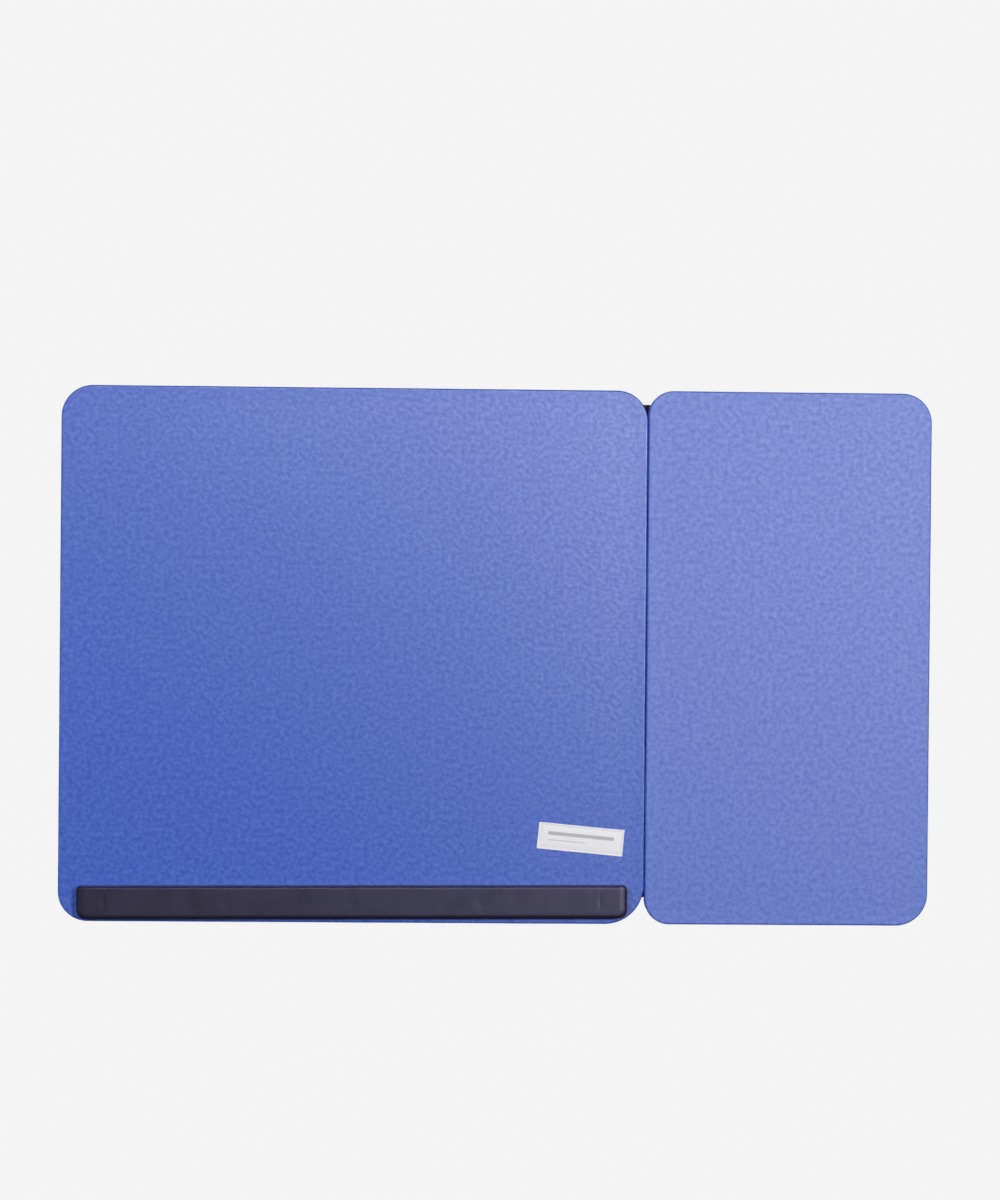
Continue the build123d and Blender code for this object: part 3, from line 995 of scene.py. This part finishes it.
def make_stitches():
    """Every stitch is a short arch of thread that dives into the label at both ends."""
    work = bmesh.new()
    around, steps = 8, 8
    reach, radius, rise = 1.15 * MM, 0.17 * MM, 0.16 * MM
    for middle, direction in stitch_runs():
        skew = random.uniform(-0.09, 0.09)
        direction = Matrix.Rotation(skew, 2) @ direction
        sideways = Vector((-direction.y, direction.x))
        rings = []
        for step in range(steps + 1):
            t = 2 * step / steps - 1
            centre = middle + direction * reach * t
            height = label_surface(middle.x, middle.y) + rise * (1 - t * t) - 0.09 * MM
            girth = radius * (1 - 0.35 * abs(t) ** 3)
            ring = []
            for corner in range(around):
                angle = 2 * math.pi * corner / around
                side = centre + sideways * girth * math.cos(angle)
                ring.append(work.verts.new((side.x, side.y, height + girth * math.sin(angle))))
            rings.append(ring)
        for ring, after in zip(rings, rings[1:]):
            for corner in range(around):
                other = (corner + 1) % around
                work.faces.new((ring[corner], ring[other], after[other], after[corner]))
        work.faces.new(rings[0])
        work.faces.new(list(reversed(rings[-1])))
    bmesh.ops.recalc_face_normals(work, faces=work.faces)
    mesh = bpy.data.meshes.new("label_thread")
    work.to_mesh(mesh)
    work.free()
    mesh.polygons.foreach_set("use_smooth", [True] * len(mesh.polygons))
    mesh.transform(LABEL_PLACE)
    stitches = new_object("label_thread", mesh, THREAD, "main_panel")
    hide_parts("label_stitches")
    return stitches


label = make_label()
stitches = make_stitches()

# ---------------------------------------------------------------- CAD nodes that keep their shape

FINISHES = {
    "main_core_board": fibreboard(),
    "hinge_staples_main": zinc_steel("staple_steel", (0.62, 0.62, 0.64)),
    "ledge_screws": zinc_steel("screw_steel", (0.50, 0.50, 0.52)),
}
FINISHES["wing_core_board"] = FINISHES["main_core_board"]
FINISHES["hinge_staples_wing"] = FINISHES["hinge_staples_main"]
for node, material in FINISHES.items():
    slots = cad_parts[node].data.materials
    slots.clear()
    slots.append(material)

# ---------------------------------------------------------------- stage, light and camera

PALE = 0.905
FLOOR_Z = -0.25
AMBIENT = 0.02
KEY_PLACE = Vector((1.178, 0.458, 2.545))
KEY_SIZE = 0.42
KEY_POWER = 39.7
FILL_PLACE = Vector((-0.9, 0.4, 2.0))
FILL_SIZE = 1.2
FILL_POWER = 23.0
GLOSS_PLACE = Vector((-0.144, 0.648, 1.218))
GLOSS_SIZE = 0.2
GLOSS_POWER = 4.0
SIDE_PLACE = Vector((-1.25, -0.1, 0.95))
SIDE_SIZE = 0.4
SIDE_POWER = 0.6
CAMERA_PLACE = Vector((-0.03945, 0.04473, 1.67275))
CAMERA_TURN = (-0.3078, -1.4241, 0.5145)
CAMERA_LENS = 78.0


def make_floor():
    """A wide pale floor, well below the panel so that its folded wing stays in sight."""
    size = 12.0
    corners = [(x * size, y * size, FLOOR_Z) for x, y in ((-1, -1), (1, -1), (1, 1), (-1, 1))]
    mesh = bpy.data.meshes.new("floor")
    mesh.from_pydata(corners, [], [(0, 1, 2, 3)])
    material = bpy.data.materials.new("pale_floor")
    material.use_nodes = True
    tree = material.node_tree
    tree.nodes.clear()
    glow = tree.nodes.new("ShaderNodeEmission")
    glow.inputs["Color"].default_value = (PALE, PALE, PALE, 1)
    output = tree.nodes.new("ShaderNodeOutputMaterial")
    tree.links.new(glow.outputs[0], output.inputs["Surface"])
    floor = new_object("floor", mesh, material)
    floor.visible_glossy = False


def make_world():
    """A little even light from all round, and the floor's pale tone where the camera sees it."""
    world = bpy.data.worlds.new("studio")
    bpy.context.scene.world = world
    world.use_nodes = True
    tree = world.node_tree
    tree.nodes.clear()
    glows = []
    for strength in (AMBIENT, PALE):
        glow = tree.nodes.new("ShaderNodeBackground")
        glow.inputs["Color"].default_value = (1, 1, 1, 1)
        glow.inputs["Strength"].default_value = strength
        glows.append(glow.outputs[0])
    path = tree.nodes.new("ShaderNodeLightPath")
    mix = tree.nodes.new("ShaderNodeMixShader")
    tree.links.new(path.outputs["Is Camera Ray"], mix.inputs[0])
    tree.links.new(glows[0], mix.inputs[1])
    tree.links.new(glows[1], mix.inputs[2])
    output = tree.nodes.new("ShaderNodeOutputWorld")
    tree.links.new(mix.outputs[0], output.inputs["Surface"])


def make_softbox(name, place, size, power):
    """A square softbox aimed at the middle of the panel."""
    data = bpy.data.lights.new(name, "AREA")
    data.shape = "SQUARE"
    data.size = size
    data.energy = power
    light = bpy.data.objects.new(name, data)
    bpy.context.scene.collection.objects.link(light)
    light.location = place
    light.rotation_euler = (-place).to_track_quat("-Z", "Y").to_euler()
    return light


def make_lights():
    """A key up and to the right, a matt fill from the left, and two boxes that only show in gloss."""
    make_softbox("key", KEY_PLACE, KEY_SIZE, KEY_POWER)
    fill = make_softbox("fill", FILL_PLACE, FILL_SIZE, FILL_POWER)
    fill.visible_glossy = False
    gloss = make_softbox("gloss", GLOSS_PLACE, GLOSS_SIZE, GLOSS_POWER)
    gloss.visible_diffuse = False
    side = make_softbox("side", SIDE_PLACE, SIDE_SIZE, SIDE_POWER)
    side.visible_diffuse = False


def make_camera():
    """The camera, straight above the panel and a little askew."""
    data = bpy.data.cameras.new("camera")
    data.sensor_width = 36.0
    data.lens = CAMERA_LENS
    camera = bpy.data.objects.new("camera", data)
    bpy.context.scene.collection.objects.link(camera)
    camera.location = CAMERA_PLACE
    camera.rotation_euler = Euler([math.radians(angle) for angle in CAMERA_TURN])
    bpy.context.scene.camera = camera


make_floor()
make_world()
make_lights()
make_camera()
bpy.context.scene.view_settings.view_transform = "Standard"
